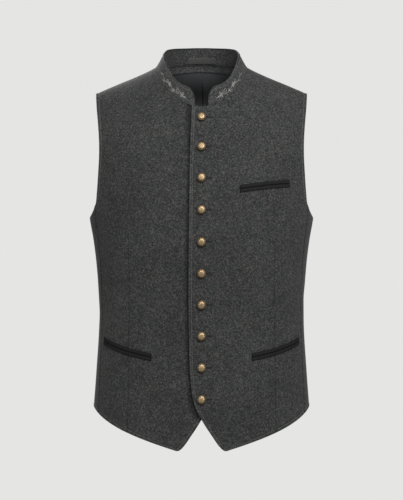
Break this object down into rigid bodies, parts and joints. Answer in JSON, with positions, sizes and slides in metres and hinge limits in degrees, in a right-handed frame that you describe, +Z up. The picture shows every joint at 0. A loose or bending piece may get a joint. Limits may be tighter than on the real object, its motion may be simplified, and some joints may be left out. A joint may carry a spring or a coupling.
{
  "type": "folk vest with a stand collar, hollow as worn",
  "caption": "Men's buttoned folk vest of charcoal wool: stand collar, double-lipped pockets, domed buttons and a pointed, cut-away front, hollow as worn, open at neck, armholes and hem.",
  "frame": {"origin": "midway between the two neck points, where each shoulder seam meets the collar, so where the vest rests on the wearer's shoulders", "axes": "+Z up towards the collar, -Y out of the buttoned front, +X towards the wearer's left"},
  "size_m": [0.3894, 0.2593, 0.6998],
  "materials": {
    "wool": "melange milled wool",
    "lining": "smooth dark satin lining",
    "trim": "near-black felted wool",
    "brass": "antique brass"
  },
  "bodies": {
    "root": {"front_left": "wool", "front_right": "wool", "back_left": "wool", "back_right": "wool", "collar": "wool", "neck_facing": "wool", "back_lining": "lining", "neck_tape": "lining", "chest_welt_upper": "trim", "chest_welt_lower": "trim", "hip_welt_left_upper": "trim", "hip_welt_left_lower": "trim", "hip_welt_right_upper": "trim", "hip_welt_right_lower": "trim", "button_1": "brass", "button_2": "brass", "button_3": "brass", "button_4": "brass", "button_5": "brass", "button_6": "brass", "button_7": "brass", "button_8": "brass", "button_9": "brass", "button_10": "brass"}
  },
  "joints": []
}
